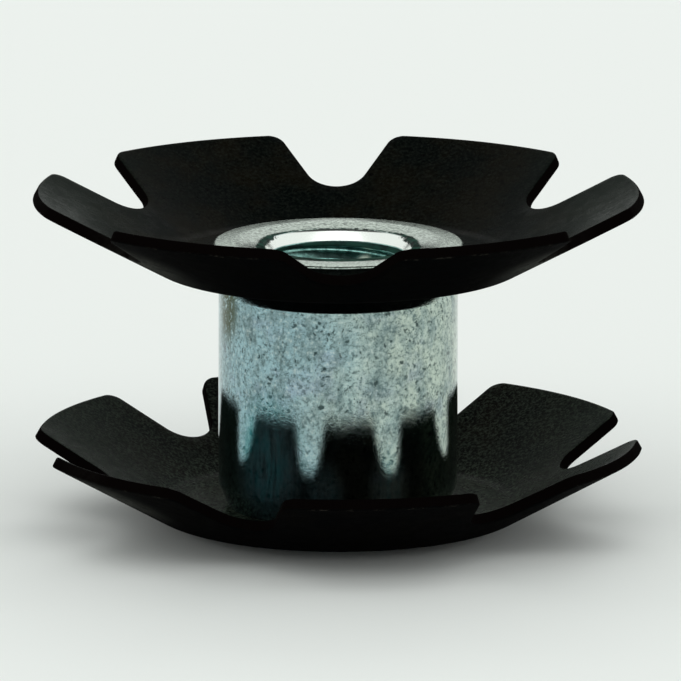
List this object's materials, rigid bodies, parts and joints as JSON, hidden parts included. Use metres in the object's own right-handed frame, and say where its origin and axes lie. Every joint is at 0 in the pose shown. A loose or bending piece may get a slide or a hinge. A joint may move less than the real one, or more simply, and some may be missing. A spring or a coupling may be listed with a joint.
{
  "type": "star nut",
  "caption": "Star nut: two dished spring-steel washers with petals cut by rounded notches, riveted to the ends of a plated barrel with a threaded bore.",
  "frame": {"origin": "centre of the riveted tail's foot, on the axis of the bore, where the part stands", "axes": "+Z along the bore's axis towards the riveted head and the open side of both washers; +X through the middle of one petal of the upper washer; -Y through the notch of the upper washer that faces the viewer"},
  "size_m": [0.0268, 0.0268, 0.015],
  "materials": {
    "blackened_spring_steel": "satin",
    "zinc_plated_steel": "satin"
  },
  "bodies": {
    "root": {"upper_star_washer": "blackened_spring_steel", "lower_star_washer": "blackened_spring_steel", "threaded_barrel": "zinc_plated_steel"}
  },
  "joints": []
}
